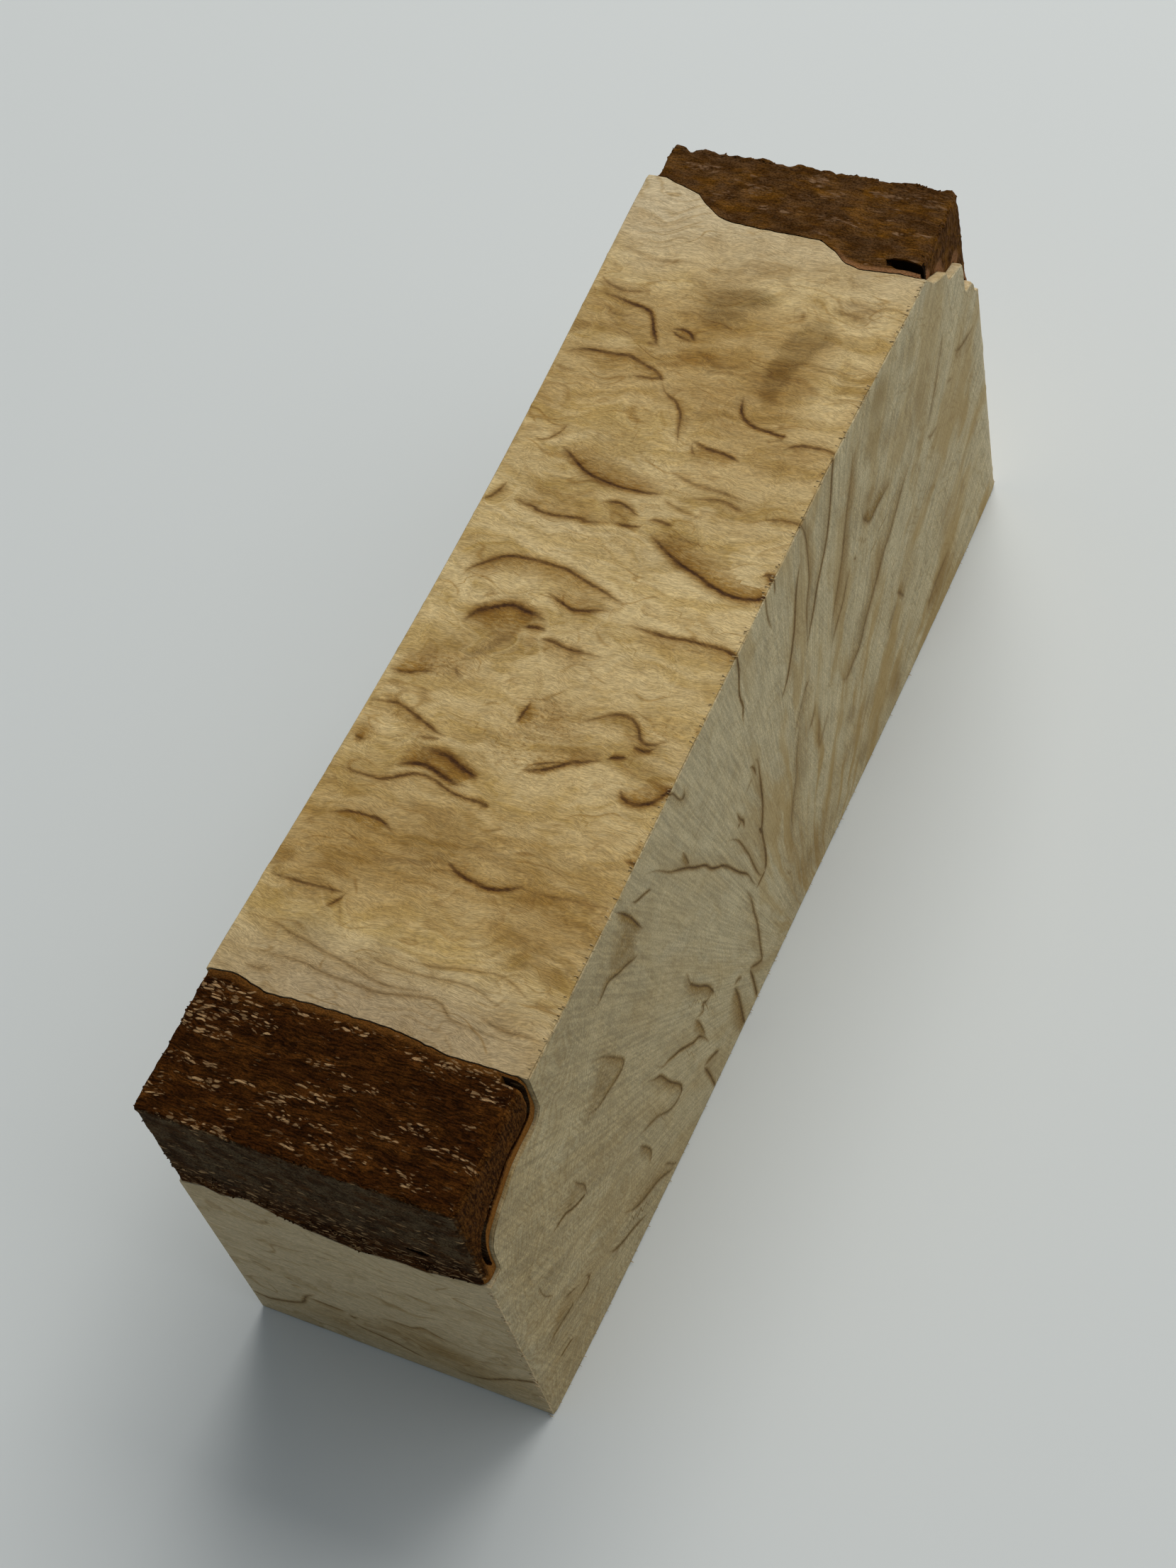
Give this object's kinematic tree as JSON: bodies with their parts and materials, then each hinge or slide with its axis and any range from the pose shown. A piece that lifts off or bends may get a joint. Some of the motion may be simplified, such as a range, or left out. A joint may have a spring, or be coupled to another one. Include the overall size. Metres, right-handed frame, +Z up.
{
  "type": "masur birch block",
  "caption": "Sawn block of curly, brown-marked masur birch, with bark left on its two upper end corners, lying on its flat bottom.",
  "frame": {"origin": "centre of the block's box, at the height of its flat bottom", "axes": "+Y along the block's length towards its higher end, +X along the wood's fibre towards the right end-grain face, +Z up"},
  "size_m": [0.037, 0.1314, 0.0509],
  "materials": {
    "birch_wood": "rough-sawn, matt, honey and cream with brown masur marks",
    "near_birch_bark": "sawn bark, matt, red-brown with pale flecks",
    "far_birch_bark": "sawn bark, matt, brown with pale flecks and a crumbly edge"
  },
  "bodies": {
    "root": {"masur_wood": "birch_wood", "near_bark": "near_birch_bark", "far_bark": "far_birch_bark"}
  },
  "joints": []
}
